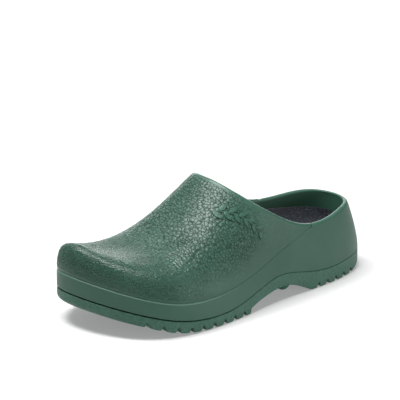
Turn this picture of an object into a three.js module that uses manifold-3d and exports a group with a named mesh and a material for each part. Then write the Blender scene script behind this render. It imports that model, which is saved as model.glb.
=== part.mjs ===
// A moulded garden clog for the left foot: a textured vamp and a smooth rand and quarter in
// soft rubber, an outsole with a cut tread, a foam midsole inside, and a loose cork footbed.
// Millimetres. +Z is up, the heel points along +Y, the toe along -Y, and +X is the outer
// (lateral) side. The clog stands on z = 0.
import * as THREE from 'three';
import { ParametricGeometry } from 'three/addons/geometries/ParametricGeometry.js';
import { mergeVertices } from 'three/addons/utils/BufferGeometryUtils.js';
import Module from 'manifold-3d';

const wasm = await Module();
wasm.setup();

// ---------------------------------------------------------------- driving sizes
const LENGTH = 280; // toe tip to heel back
const WIDTH = 111; // across the ball of the foot
const HEIGHT = 102.7; // ground to the top of the throat
const WALL = 4; // moulded shell
const PART_LINE = 0.3; // gap left where two moulded pieces meet
const FORE_PITCH = 11.1; // bar to bar along the forefoot tread
const HEEL_PITCH = 10.7; // and along the heel tread
const FIRST_NOTCH = 8; // from the end of a tread block to its first notch
const NOTCH_WIDTH = 3.6; // tread notch, across its mouth
const NOTCH_DEPTH = 3;
const FORE_NOTCHES = 9;
const HEEL_NOTCHES = 5;
const FORE_END = -9; // back edge of the forefoot tread
const HEEL_FRONT = 63.5; // front edge of the heel tread
const ARCH_HEIGHT = 11.5; // hollow under the sole's waist
const LUG_AT = 41; // the round bar under the waist
const LUG_RADIUS = 6.5;
const LUG_GROUND_GAP = 2.5;
const LUG_INSET = 7; // from the sole's side wall to the bar's end
const BACKING = 1; // woven base under the footbed
const COVER = 1.3; // felt on top of the footbed
const FOOTBED_CLEARANCE = 2.3; // all round, so that the footbed lifts out
const LIFT_ANGLE = 10; // degrees that the footbed tips up about its toe end
const COLLAR_TILT = -0.02; // the collar is a little lower on the outer side

// mesh density
const STATIONS = 48; // slices from toe to heel
const RIB_STEPS = 11; // from the part line of the sole up to the ridge of the vamp
const ACROSS = 8; // over the footbed's top
const PROFILE_STEPS = 56; // along the side-view lines

// ---------------------------------------------------------------- smooth lines
// One piece of a uniform cubic B-spline through the pull of four values, 0 <= f <= 1.
function cubic(a, b, c, d, f) {
  const g = 1 - f;
  const near = (s) => 3 * s * s * s - 6 * s * s + 4;
  return (g * g * g * a + near(f) * b + near(g) * c + f * f * f * d) / 6;
}

// A height line in the side view, from values at equally spaced stations, toe to heel.
function sideLine(values, unit) {
  const last = values.length - 1;
  const at = (i) => {
    if (i < 0) return 2 * values[0] - values[1];
    if (i > last) return 2 * values[last] - values[last - 1];
    return values[i];
  };
  return (y) => {
    const s = THREE.MathUtils.clamp(((y + LENGTH / 2) / LENGTH) * last, 0, last);
    const i = Math.min(Math.floor(s), last - 1);
    return cubic(at(i - 1), at(i), at(i + 1), at(i + 2), s - i) * unit;
  };
}

const percent = HEIGHT / 100;
// Heights of the clog's lines in hundredths of HEIGHT, at eleven stations.
const treadLine = sideLine([18, 11.9, 1.4, 0, 0, 0, 0, 0, 0, 0, 1.2], percent);
const soleLine = sideLine([28.1, 20.3, 11.9, 8.8, 9.1, 16.4, 24.6, 16.6, 12.5, 14.8, 16.2], percent);
const vampLine = sideLine([42.9, 33.6, 25.6, 24.2, 26.6, 32.6, 42.1, 50.2, 61.1, 77.9, 99.2], percent);
const collarLine = sideLine([197, 185, 166, 140, 112.3, 88.4, 69.9, 55.3, 54.3, 59.1, 55.7], percent);
const ridgeLine = sideLine([71, 56.1, 52.3, 65.2, 88.7, 110.7, 124.2, 130.4, 133.2, 135.7, 139.2], percent);
const floorLine = sideLine([35, 26.3, 18, 14.1, 14.6, 20.9, 26.8, 25.4, 23.4, 23.4, 23.4], percent);
// Side to side place of the ridge, in hundredths of WIDTH.
const ridgeSide = sideLine([-11.5, -13.3, -6.8, 1], WIDTH / 100);
// How square the cross-section is: low numbers keep the walls upright for longer.
const wallSquareness = sideLine([0.38, 0.26, 0.56, 0.8, 0.91, 0.97], 1);
const crownSquareness = sideLine([0.46, 0.88, 0.82, 0.77, 0.92, 1.43], 1);
// Thickness of the cork at the middle and the height of its raised rim, in millimetres.
const corkLine = sideLine([4, 4, 4.5, 5, 6, 7.5, 8.5, 9, 8.5, 8, 8], 1);
const innerRim = sideLine([1.5, 1.5, 2, 2.5, 4, 9, 14, 13.5, 12.5, 11, 7], 1);
const outerRim = sideLine([1.5, 1.5, 2, 2.5, 3.5, 6, 9, 11, 12, 11, 7], 1);
const RIM_REACH = 20; // the rim's slope runs this far in from the edge

// Plan outline at its widest level, pulled by sixteen points in hundredths of WIDTH and
// LENGTH. It runs from the heel back along the outer side to the toe and home again.
const OUTLINE = [
  [-0.2, 51.2], [20.4, 47.5], [32.2, 37.1], [36.3, 23.2], [38.4, 7.6], [49.2, -9.9], [51.7, -27.6],
  [36.6, -41], [-0.1, -49.4], [-35.6, -51.3], [-50.7, -39.5], [-50.2, -20.8], [-41.9, -2.2],
  [-35, 16.2], [-35.5, 34.3], [-24.8, 47.8],
];
const TURN = OUTLINE.length;

function outlineAt(u, inset) {
  const i = Math.floor(u);
  const pull = (k, axis) => OUTLINE[(i + k + TURN) % TURN][axis];
  const value = (f, axis) => cubic(pull(-1, axis), pull(0, axis), pull(1, axis), pull(2, axis), f);
  const f = u - i;
  const step = 1e-4;
  const across = WIDTH / 100;
  const along = LENGTH / 100;
  const runX = (value(f + step, 0) - value(f - step, 0)) * across;
  const runY = (value(f + step, 1) - value(f - step, 1)) * along;
  const run = Math.hypot(runX, runY);
  return new THREE.Vector2(
    value(f, 0) * across + (runY / run) * inset,
    value(f, 1) * along - (runX / run) * inset,
  );
}

// The parameter between two ends where a rising or falling quantity passes a goal.
function solve(quantity, from, to, goal) {
  const rising = quantity(to) > quantity(from);
  let low = from;
  let high = to;
  for (let i = 0; i < 40; i += 1) {
    const middle = (low + high) / 2;
    if (quantity(middle) < goal === rising) low = middle;
    else high = middle;
  }
  return (low + high) / 2;
}

// The parameter between two others where the outline turns back along x or y.
function furthest(axis, from, to) {
  const slope = (u) => outlineAt(u + 1e-3, 0)[axis] - outlineAt(u - 1e-3, 0)[axis];
  return solve(slope, from, to, 0);
}

const TOE_TIP = furthest('y', 7, 10);
const HEEL_BACK = furthest('y', -1, 1);
const BALL_OUTER = furthest('x', 4, 7);
const BALL_INNER = furthest('x', 9, 12);

// The outline's point on one side (+1 outer, -1 inner), a share t of the way toe to heel.
function edgeAt(t, side, inset) {
  const toe = outlineAt(TOE_TIP, inset);
  const heel = outlineAt(HEEL_BACK, inset);
  if (t <= 0) return toe;
  if (t >= 1) return heel;
  const far = side > 0 ? HEEL_BACK : HEEL_BACK + TURN;
  const goal = toe.y + t * (heel.y - toe.y);
  return outlineAt(solve((u) => outlineAt(u, inset).y, TOE_TIP, far, goal), inset);
}

// ---------------------------------------------------------------- the clog's cross-sections
const RIDGE_TOE = -0.464 * LENGTH; // where the ridge starts and where its dome would end
const RIDGE_HEEL = 0.308 * LENGTH;
const MIDDLE = new THREE.Vector2(
  (outlineAt(BALL_OUTER, 0).x + outlineAt(BALL_INNER, 0).x) / 2,
  (outlineAt(TOE_TIP, 0).y + outlineAt(HEEL_BACK, 0).y) / 2,
);

// A rib leaves the outline upright and bends over to the ridge.
function ribAt(t, side, inset) {
  const foot = edgeAt(t, side, inset);
  const ridgeY = THREE.MathUtils.lerp(RIDGE_TOE, RIDGE_HEEL, t);
  const slope = (ridgeLine(ridgeY + 1) - ridgeLine(ridgeY - 1)) / 2;
  const place = -LENGTH / 2 + t * LENGTH;
  return {
    foot,
    ridge: new THREE.Vector2(ridgeSide(ridgeY), ridgeY),
    low: soleLine(place),
    top: ridgeLine(ridgeY) - inset * Math.hypot(1, slope),
    wall: wallSquareness(place),
    crown: crownSquareness(place),
  };
}

function ribReach(rib, z) {
  const share = THREE.MathUtils.clamp((z - rib.low) / (rib.top - rib.low), 0, 1);
  return Math.cos(Math.asin(share ** (1 / rib.crown))) ** rib.wall;
}

// Sideways the rib follows its reach; lengthwise its square, so both sides meet with no crease.
function ribPoint(rib, reach, z) {
  const x = THREE.MathUtils.lerp(rib.ridge.x, rib.foot.x, reach);
  const y = THREE.MathUtils.lerp(rib.ridge.y, rib.foot.y, reach * reach);
  return new THREE.Vector3(x, y, z);
}

// The inside is upright up to the level that the footbed's edge passes as it lifts out.
function uprightReach(t, side) {
  const rib = ribAt(t, side, WALL);
  const fromToe = t * LENGTH;
  const rise = fromToe * Math.tan(THREE.MathUtils.degToRad(LIFT_ANGLE));
  const place = fromToe - LENGTH / 2;
  const level = Math.min(footbedRim(place) + rise, collarLine(place));
  return ribReach(rib, level);
}

const coreFloor = (y) => floorLine(y) + PART_LINE + BACKING + PART_LINE;
const footbedRim = (y) => coreFloor(y) + corkLine(y) + PART_LINE + COVER + innerRim(y);

const along = (step) => (1 - Math.cos((Math.PI * step) / STATIONS)) / 2;

// A closed surface from one ring of points per station. The end rings are folded flat.
function loft(ringAt) {
  const rings = Array.from({ length: STATIONS + 1 }, (_, step) => ringAt(along(step)));
  const count = rings[0].length;
  const place = (u, v, target) => {
    target.copy(rings[Math.round(u * STATIONS)][Math.round(v * count) % count]);
  };
  return toSolid(new ParametricGeometry(place, STATIONS, count));
}

// The whole clog as one solid lump, with upright sides below the sole line.
function lump(inset, upright) {
  const low = -HEIGHT / 4;
  return loft((t) => {
    const half = (side) => {
      const rib = ribAt(t, side, inset);
      const limit = upright ? uprightReach(t, side) : 1;
      const points = [ribPoint(rib, Math.min(1, limit), low)];
      for (let i = 0; i <= RIB_STEPS; i += 1) {
        const angle = (Math.PI / 2) * (i / RIB_STEPS);
        const z = rib.low + Math.sin(angle) ** rib.crown * (rib.top - rib.low);
        const reach = i === RIB_STEPS ? 0 : Math.min(Math.cos(angle) ** rib.wall, limit);
        points.push(ribPoint(rib, reach, z));
      }
      return points;
    };
    return [...half(1), ...half(-1).reverse().slice(1)];
  });
}

// A layer inside the clog, with upright sides a clearance away from the shell's inside.
function layer(clearance, bottomAt, topAt, across) {
  return loft((t) => {
    const side = (s) => {
      const rib = ribAt(t, s, WALL + clearance);
      return ribPoint(rib, uprightReach(t, s), 0);
    };
    const outer = side(1);
    const inner = side(-1);
    const row = Array.from({ length: across + 1 }, (_, i) => outer.clone().lerp(inner, i / across));
    const folded = t <= 0 || t >= 1;
    const share = (i) => (folded ? 0.5 : i / across);
    const raised = (height) => (p, i) => new THREE.Vector3(p.x, p.y, height(p.x, p.y, share(i)));
    return [...row.map(raised(topAt)), ...row.map(raised(bottomAt)).reverse()];
  });
}

// ---------------------------------------------------------------- solids and cutters
function toSolid(geometry) {
  const bare = geometry.clone();
  bare.deleteAttribute('normal');
  bare.deleteAttribute('uv');
  const merged = mergeVertices(bare, 1e-4);
  const index = merged.index.array;
  const kept = [];
  for (let i = 0; i < index.length; i += 3) {
    const [a, b, c] = index.slice(i, i + 3);
    if (a !== b && b !== c && c !== a) kept.push(a, b, c);
  }
  return new wasm.Manifold(new wasm.Mesh({
    numProp: 3,
    vertProperties: new Float32Array(merged.attributes.position.array),
    triVerts: new Uint32Array(kept),
  }));
}

function toMesh(name, solid, material) {
  const { vertProperties, triVerts } = solid.getMesh();
  const geometry = new THREE.BufferGeometry();
  geometry.setAttribute('position', new THREE.BufferAttribute(vertProperties, 3));
  geometry.setIndex(new THREE.BufferAttribute(triVerts, 1));
  geometry.computeVertexNormals();
  const mesh = new THREE.Mesh(geometry, material);
  mesh.name = name;
  return mesh;
}

// A bar right across the clog with the given outline in the side view (y, z).
function sideBar(outline, from = -WIDTH, to = WIDTH) {
  const bar = new THREE.ExtrudeGeometry(new THREE.Shape(outline), {
    depth: to - from,
    bevelEnabled: false,
  });
  const across = new THREE.Vector3(1, 0, 0);
  const back = new THREE.Vector3(0, 1, 0);
  const up = new THREE.Vector3(0, 0, 1);
  bar.applyMatrix4(new THREE.Matrix4().makeBasis(back, up, across));
  bar.translate(from, 0, 0);
  return bar;
}

function profile(line, offset) {
  return Array.from({ length: PROFILE_STEPS + 1 }, (_, i) => {
    const y = (i / PROFILE_STEPS - 0.5) * LENGTH * 1.1;
    return new THREE.Vector2(y, line(y) + offset);
  });
}

// Everything below a side-view line, down past the ground.
function below(line, offset, tilt = 0) {
  const points = profile(line, offset);
  const deep = -HEIGHT / 2;
  points.push(new THREE.Vector2(LENGTH * 0.55, deep), new THREE.Vector2(-LENGTH * 0.55, deep));
  const bar = sideBar(points);
  bar.applyMatrix4(new THREE.Matrix4().makeShear(0, tilt, 0, 0, 0, 0));
  return toSolid(bar);
}

// ---------------------------------------------------------------- moulded rubber
const rubber = (color, roughness) => new THREE.MeshStandardMaterial({ color, roughness, metalness: 0 });

const outerLump = lump(0, false);
const shell = outerLump.subtract(lump(WALL, true)).intersect(below(collarLine, 0, COLLAR_TILT));

function vamp() {
  const solid = shell.subtract(below(vampLine, PART_LINE / 2));
  return toMesh('vamp', solid, rubber(0x485d54, 0.5));
}

function randAndQuarter() {
  const solid = shell
    .intersect(below(vampLine, -PART_LINE / 2))
    .subtract(below(soleLine, PART_LINE / 2));
  return toMesh('rand_and_quarter', solid, rubber(0x4e685c, 0.45));
}

// ---------------------------------------------------------------- outsole
// A round-topped notch from under the tread, at right angles to the sole's length.
function notch(y) {
  const ground = treadLine(y);
  const half = NOTCH_WIDTH / 2;
  const shape = [
    new THREE.Vector2(y - half - 1, ground - NOTCH_DEPTH),
    new THREE.Vector2(y + half + 1, ground - NOTCH_DEPTH),
    new THREE.Vector2(y + half, ground),
    new THREE.Vector2(y + half / 4, ground + NOTCH_DEPTH),
    new THREE.Vector2(y - half / 4, ground + NOTCH_DEPTH),
    new THREE.Vector2(y - half, ground),
  ];
  return toSolid(sideBar(shape));
}

function notches() {
  const fore = (i) => notch(FORE_END - FIRST_NOTCH - FORE_PITCH * i);
  const heel = (i) => notch(HEEL_FRONT + FIRST_NOTCH + HEEL_PITCH * i);
  return [
    ...Array.from({ length: FORE_NOTCHES }, (_, i) => fore(i)),
    ...Array.from({ length: HEEL_NOTCHES }, (_, i) => heel(i)),
  ];
}

// The hollow under the waist: a steep front step and a long slope up from the heel tread.
function archHollow() {
  const span = HEEL_FRONT - FORE_END;
  const arch = new THREE.SplineCurve([
    new THREE.Vector2(FORE_END, ARCH_HEIGHT * 0.36),
    new THREE.Vector2(FORE_END + span * 0.16, ARCH_HEIGHT * 0.68),
    new THREE.Vector2(FORE_END + span * 0.46, ARCH_HEIGHT),
    new THREE.Vector2(FORE_END + span * 0.7, ARCH_HEIGHT * 0.86),
    new THREE.Vector2(HEEL_FRONT, 0),
  ]);
  const shape = [
    new THREE.Vector2(FORE_END - 1, -ARCH_HEIGHT),
    ...arch.getPoints(20),
    new THREE.Vector2(HEEL_FRONT + 1, -ARCH_HEIGHT),
  ];
  return toSolid(sideBar(shape));
}

// The round bar under the waist, stopping short of the sole's sides.
function waistLug() {
  const middle = LUG_GROUND_GAP + LUG_RADIUS;
  const t = LUG_AT / LENGTH + 0.5;
  const shape = new THREE.Shape();
  shape.moveTo(LUG_AT - LUG_RADIUS, ARCH_HEIGHT + 1);
  shape.lineTo(LUG_AT - LUG_RADIUS, middle);
  shape.absarc(LUG_AT, middle, LUG_RADIUS, Math.PI, 2 * Math.PI, false);
  shape.lineTo(LUG_AT + LUG_RADIUS, ARCH_HEIGHT + 1);
  const from = edgeAt(t, -1, LUG_INSET).x;
  const to = edgeAt(t, 1, LUG_INSET).x;
  return toSolid(sideBar(shape.getPoints(8), from, to));
}

function outsole() {
  let solid = outerLump
    .intersect(below(soleLine, -PART_LINE / 2))
    .subtract(below(treadLine, 0))
    .subtract(archHollow())
    .add(waistLug());
  for (const cut of notches()) solid = solid.subtract(cut);
  return toMesh('outsole', solid, rubber(0x465f55, 0.55));
}

// ---------------------------------------------------------------- inside
function midsole() {
  const solid = layer(
    PART_LINE,
    (x, y) => soleLine(y) + PART_LINE,
    (x, y) => floorLine(y),
    1,
  );
  return toMesh('midsole', solid, rubber(0x3d5a4d, 0.8));
}

// The cork's top: flat in the middle and rising to a rim, higher on the inner side.
function corkTop(x, y, share) {
  const t = THREE.MathUtils.clamp((y + LENGTH / 2) / LENGTH, 0, 1);
  const halfWidth = (edgeAt(t, 1, WALL).x - edgeAt(t, -1, WALL).x) / 2;
  const fromSide = 2 * halfWidth * Math.min(share, 1 - share);
  const fromHeel = Math.max(0, LENGTH / 2 - WALL - y);
  const slope = Math.max(0, 1 - Math.min(fromSide, fromHeel) / RIM_REACH);
  const rim = THREE.MathUtils.lerp(outerRim(y), innerRim(y), share);
  return coreFloor(y) + corkLine(y) + rim * slope * slope;
}

function footbedBacking() {
  const solid = layer(
    FOOTBED_CLEARANCE,
    (x, y) => floorLine(y) + PART_LINE,
    (x, y) => floorLine(y) + PART_LINE + BACKING,
    1,
  );
  return toMesh('footbed_backing', solid, rubber(0xb59a6d, 0.95));
}

// The height of the cork's top, raised by a gap.
const overCork = (gap) => (x, y, share) => corkTop(x, y, share) + gap;

function corkUpTo(gap) {
  return layer(FOOTBED_CLEARANCE, (x, y) => coreFloor(y), overCork(gap), ACROSS);
}

function footbedCore() {
  return toMesh('footbed_core', corkUpTo(0), rubber(0xb08658, 0.9));
}

function footbedCover() {
  const block = layer(FOOTBED_CLEARANCE, overCork(-COVER), overCork(PART_LINE + COVER), ACROSS);
  const solid = block.subtract(corkUpTo(PART_LINE));
  return toMesh('footbed_cover', solid, rubber(0x23272b, 0.95));
}

// ---------------------------------------------------------------- the clog
const clog = new THREE.Group();
clog.add(vamp(), randAndQuarter(), outsole(), midsole());
clog.add(footbedBacking(), footbedCore(), footbedCover());
clog.position.set(-MIDDLE.x, -MIDDLE.y, 0);

export default clog;
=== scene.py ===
import math
import bmesh
import bpy
import numpy as np
from mathutils import Matrix, Vector
from mathutils.bvhtree import BVHTree
from mathutils.kdtree import KDTree


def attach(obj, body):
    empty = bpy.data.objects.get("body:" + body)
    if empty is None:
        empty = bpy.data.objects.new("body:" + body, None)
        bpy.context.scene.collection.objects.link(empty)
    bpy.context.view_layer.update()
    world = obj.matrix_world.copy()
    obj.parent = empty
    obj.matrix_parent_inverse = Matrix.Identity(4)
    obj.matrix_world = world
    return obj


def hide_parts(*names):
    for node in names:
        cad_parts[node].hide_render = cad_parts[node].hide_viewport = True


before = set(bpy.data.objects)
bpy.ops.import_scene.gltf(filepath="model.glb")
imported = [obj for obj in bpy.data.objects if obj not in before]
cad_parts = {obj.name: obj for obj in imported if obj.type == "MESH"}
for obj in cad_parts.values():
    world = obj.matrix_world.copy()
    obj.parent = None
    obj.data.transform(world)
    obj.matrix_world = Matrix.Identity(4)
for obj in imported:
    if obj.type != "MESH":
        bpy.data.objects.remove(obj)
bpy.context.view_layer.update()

# %% [markdown]
# # A rubber garden clog, piece by piece
# The clog is a soft moulded shell on a ridged sole, with a loose cork and felt footbed
# The imported frame gives each piece its place, in metres: +Z is up, the toe points
# along -Y and +X is the outer side of a left foot. Its box is kept.

# %% [markdown]
# ## The sizes of the last
# The form follows a few long lines: where the tread, the sole, the vamp and the collar run
# when seen from the side, and the outline from above. Each is a cubic B-spline, so the
# highlights run along the shell without kinks. All of them are in millimetres here.

# %% Driving sizes
LENGTH, WIDTH, HEIGHT = 280.0, 111.0, 102.7
WALL, PART_GAP, VAMP_GAP = 4.0, 0.3, 0.04
COLLAR_RADIUS, COLLAR_BAND = 2.2, 3.2
NOTCH_WIDTH, NOTCH_DEPTH = 4.4, 4.1
FORE_END, HEEL_FRONT, ARCH_HEIGHT = -9.0, 63.5, 11.5
FIRST_NOTCH, FORE_PITCH, HEEL_PITCH = 8, 11.1, 10.7
FORE_NOTCHES = [FORE_END - FIRST_NOTCH - FORE_PITCH * i for i in range(9)]
HEEL_NOTCHES = [HEEL_FRONT + FIRST_NOTCH + HEEL_PITCH * i for i in range(5)]
LUG_AT, LUG_RADIUS, LUG_GROUND_GAP, LUG_INSET = 41.0, 6.5, 2.5, 7.0
BACKING, COVER, CLEARANCE, RIM_REACH = 1.0, 1.3, 2.3, 20.0
LIFT_ANGLE, COLLAR_TILT = math.radians(10), -0.02
RIDGE_TOE, RIDGE_HEEL = -0.464 * LENGTH, 0.308 * LENGTH
SIDES = (1, -1)  # outer, inner


# %% Smooth lines seen from the side
def cubic(a, b, c, d, f):
    g = 1 - f
    near = lambda s: 3 * s**3 - 6 * s**2 + 4
    return (g**3 * a + near(f) * b + near(g) * c + f**3 * d) / 6


def side_line(values, unit=1.0):
    v = np.array([2 * values[0] - values[1], *values, 2 * values[-1] - values[-2]], float)
    last = len(values) - 1

    def line(y):
        s = np.clip((np.asarray(y, float) / LENGTH + 0.5) * last, 0, last)
        i = np.minimum(s.astype(int), last - 1)
        return cubic(v[i], v[i + 1], v[i + 2], v[i + 3], s - i) * unit

    return line


PERCENT = HEIGHT / 100
tread_line = side_line([18, 11.9, 1.4, 0, 0, 0, 0, 0, 0, 0, 1.2], PERCENT)
sole_line = side_line([28.1, 20.3, 11.9, 8.8, 9.1, 16.4, 24.6, 16.6, 12.5, 14.8, 16.2], PERCENT)
vamp_line = side_line([42.9, 33.6, 25.6, 24.2, 26.6, 32.6, 42.1, 50.2, 61.1, 77.9, 99.2], PERCENT)
collar_line = side_line([197, 185, 166, 140, 112.3, 88.4, 69.9, 55.3, 54.3, 59.1, 55.7], PERCENT)
ridge_line = side_line([71, 56.1, 52.3, 65.2, 88.7, 110.7, 124.2, 130.4, 133.2, 135.7, 139.2], PERCENT)
floor_line = side_line([35, 26.3, 18, 14.1, 14.6, 20.9, 26.8, 25.4, 23.4, 23.4, 23.4], PERCENT)
ridge_side = side_line([-11.5, -13.3, -6.8, 1], WIDTH / 100)
wall_squareness = side_line([0.38, 0.26, 0.56, 0.8, 0.91, 0.97])
crown_squareness = side_line([0.46, 0.88, 0.82, 0.77, 0.92, 1.43])
cork_line = side_line([4, 4, 4.5, 5, 6, 7.5, 8.5, 9, 8.5, 8, 8])
inner_rim = side_line([1.5, 1.5, 2, 2.5, 4, 9, 14, 13.5, 12.5, 11, 7])
outer_rim = side_line([1.5, 1.5, 2, 2.5, 3.5, 6, 9, 11, 12, 11, 7])
core_floor = lambda y: floor_line(y) + PART_GAP * 2 + BACKING
footbed_rim = lambda y: core_floor(y) + cork_line(y) + PART_GAP + COVER + inner_rim(y)


def smooth(low, high, value):
    s = np.clip((np.asarray(value, float) - low) / (high - low), 0, 1)
    return s * s * (3 - 2 * s)


# %% [markdown]
# ## The outline from above
# Sixteen points pull a closed curve round the foot. It is sampled densely for each inset,
# and then a share t from toe to heel finds a place on either side.

# %% The outline and its insets
PULLS = np.array([
    [-0.2, 51.2], [20.4, 47.5], [32.2, 37.1], [36.3, 23.2], [38.4, 7.6], [49.2, -9.9], [51.7, -27.6],
    [36.6, -41], [-0.1, -49.4], [-35.6, -51.3], [-50.7, -39.5], [-50.2, -20.8], [-41.9, -2.2],
    [-35, 16.2], [-35.5, 34.3], [-24.8, 47.8]]) * [WIDTH / 100, LENGTH / 100]


def sample_outline():
    u = np.arange(0, 16, 0.0025)
    i = u.astype(int)
    f = (u - i)[:, None]
    a, b, c, d = (PULLS[(i + k) % 16] for k in (-1, 0, 1, 2))
    place = cubic(a, b, c, d, f)
    run = -((1 - f) ** 2) * a + (3 * f * f - 4 * f) * b + (4 * (1 - f) - 3 * (1 - f) ** 2) * c + f * f * d
    run /= np.linalg.norm(run, axis=1)[:, None]
    start = np.argmax(place[:, 1])
    place, run = np.roll(place, -start, axis=0), np.roll(run, -start, axis=0)
    return np.vstack([place, place[:1]]), np.vstack([run, run[:1]])


RING, RUN = sample_outline()
TOE = int(np.argmin(RING[:, 1]))
INSETS = {}


def edge_at(t, side, inset):
    if (side, inset) not in INSETS:
        ring = RING + inset * np.stack([RUN[:, 1], -RUN[:, 0]], axis=1)
        half = ring[: TOE + 1][::-1] if side > 0 else ring[TOE:]
        INSETS[side, inset] = (half[:, 0], np.maximum.accumulate(half[:, 1]))
    x, y = INSETS[side, inset]
    goal = y[0] + np.asarray(t, float) * (y[-1] - y[0])
    return np.interp(goal, y, x), goal



# %% [markdown]
# ## Ribs
# A rib leaves the outline upright and bends over to the ridge of the foot. Two exponents
# say how square its wall and its crown are. The same rule with an inset gives the inside.

# %% Ribs as dense polylines
def rib_at(t, side, inset):
    """A rib's foot and its ridge in x and y, its lowest and highest z, and its two exponents."""
    foot_x, foot_y = edge_at(t, side, inset)
    ridge_y = RIDGE_TOE + t * (RIDGE_HEEL - RIDGE_TOE)
    slope = (ridge_line(ridge_y + 1) - ridge_line(ridge_y - 1)) / 2
    place = (t - 0.5) * LENGTH
    top = ridge_line(ridge_y) - inset * np.hypot(1, slope)
    exponents = wall_squareness(place), crown_squareness(place)
    return foot_x, foot_y, ridge_side(ridge_y), ridge_y, sole_line(place), top, *exponents


def rib_points(rib, reach, z):
    spare = (1,) * (np.ndim(reach) - np.ndim(rib[0]))
    foot_x, foot_y, ridge_x, ridge_y = (v.reshape(v.shape + spare) for v in rib[:4])
    x, y = ridge_x + (foot_x - ridge_x) * reach, ridge_y + (foot_y - ridge_y) * reach**2
    return np.stack([x, y, z + 0 * reach], axis=-1)


def reach_at(rib, z):
    share = np.clip((z - rib[4]) / (rib[5] - rib[4]), 0, 1)
    return np.cos(np.arcsin(share ** (1 / rib[7]))) ** rib[6]


def upright_reach(t, side):
    place = (t - 0.5) * LENGTH
    level = np.minimum(footbed_rim(place) + t * LENGTH * math.tan(LIFT_ANGLE), collar_line(place))
    return reach_at(rib_at(t, side, WALL), level)


def rib_lines(t, side, inset):
    """Every rib from well under the sole line up to the ridge, one dense polyline per row."""
    rib = rib_at(t, side, inset)
    wall, crown = rib[6][:, None], rib[7][:, None]
    even = np.linspace(0, 1, 260)
    by_height = np.arcsin(even ** (1 / crown))
    by_reach = np.arccos(np.clip(even[::-1] ** (1 / wall), 0, 1))
    turn = np.sort(np.hstack([by_height, by_reach]), axis=1)
    z = rib[4][:, None] + np.sin(turn) ** crown * (rib[5] - rib[4])[:, None]
    reach = np.cos(turn).clip(0, 1) ** wall
    reach[:, -1] = 0
    if inset:
        reach = np.minimum(reach, upright_reach(t, side)[:, None])
    low = rib[4][:, None] - np.array([[30.0, 10.0]])
    return rib_points(rib, np.hstack([reach[:, :1], reach[:, :1], reach]), np.hstack([low, z]))


# %% [markdown]
# ## Cutting a rib to length
# Each piece of the shell is the stretch of every rib between two lines. It gets a fixed
# number of points, close together by its two edges, where a round needs them.

# %% Trim and spread
def run_length(line):
    return np.concatenate([[0], np.cumsum(np.linalg.norm(np.diff(line, axis=0), axis=1))])


def crossing(length, value, k):
    return length[k] + (length[k + 1] - length[k]) * value[k] / (value[k] - value[k + 1])


def trim(lines, over, under):
    """The stretch of each line from where over() turns positive to where under() turns negative."""
    rows = []
    for p in lines:
        length, a, b = run_length(p), over(p), under(p)
        starts = np.nonzero((a[:-1] < 0) & (a[1:] >= 0))[0]
        first = crossing(length, a, starts[0]) if len(starts) else 0.0
        ends = np.nonzero((b[:-1] >= 0) & (b[1:] < 0) & (length[1:] > first))[0]
        last = crossing(length, b, ends[0]) if len(ends) else length[-1]
        rows.append((p, length, first, max(last, first)))
    return rows


def spread(rows, columns, low_zone, high_zone, close=7, part=1.0, more=0):
    """The same number of points on each stretch, with close ones in a zone at either edge.
    Where only a part of the stretch is spread like that, more points cover its rest evenly."""
    out = np.zeros((len(rows), columns + more, 3))
    for r, (p, length, first, last) in enumerate(rows):
        whole = (last - first) * (part if np.isscalar(part) else part[r])
        low, high = min(low_zone, whole * 0.3), min(high_zone, whole * 0.3)
        middle = np.linspace(low, whole - high, columns - 2 * close)
        s = first + np.concatenate([np.linspace(0, low, close, endpoint=False), middle,
                                    np.linspace(whole - high, whole, close + 1)[1:],
                                    np.linspace(whole, last - first, more + 1)[1:]])
        for axis in range(3):
            out[r, :, axis] = np.interp(s, length, p[:, axis])
    return out


# %% [markdown]
# ## Rounded edges
# Moulded rubber has no sharp edge. A point closer to an edge than the radius moves towards
# the wall's other face by what a quarter circle asks for, however the grid runs past it.

# %% Rounding an edge
def dense(line, step=0.15):
    length = run_length(line)
    s = np.arange(0, length[-1], step)
    return np.stack([np.interp(s, length, line[:, k]) for k in range(line.shape[1])], axis=1)


def tree_of(points):
    tree = KDTree(len(points))
    for i, p in enumerate(points):
        tree.insert(p, i)
    tree.balance()
    return tree


def round_edge(points, edge, other, radius):
    """Rounds a face by its edge. other holds the matching points of the wall's far edge."""
    radii = np.broadcast_to(np.asarray(radius, float).reshape(-1, 1), (len(edge), 1))
    both = dense(np.hstack([edge, other, radii]))
    tree = tree_of(both[:, :3])
    flat = points.reshape(-1, 3).copy()
    reach = float(np.max(radius)) + 0.3
    lo, hi = both[:, :3].min(0) - reach, both[:, :3].max(0) + reach
    for k in np.nonzero(np.all((flat > lo) & (flat < hi), axis=1))[0]:
        _, i, far = tree.find(flat[k])
        r = both[i, 6]
        if far < r:
            way = both[i, 3:6] - both[i, :3]
            size = np.linalg.norm(way)
            move = min(r - math.sqrt(max(r * r - (r - far) ** 2, 0)), size / 2)
            flat[k] += way / max(size, 1e-9) * move
    return flat.reshape(points.shape)


def round_pair(walls, edges, radius):
    """Rounds a wall's outer and inner face at the edge that they share."""
    return [round_edge(walls[k], edges[k], edges[1 - k], radius) for k in (0, 1)]


# %% Turning grids into one closed mesh
WELD = 0.002


def put_on_scene(name, data):
    made = bpy.data.objects.new(name, data)
    bpy.context.scene.collection.objects.link(made)
    return made


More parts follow.
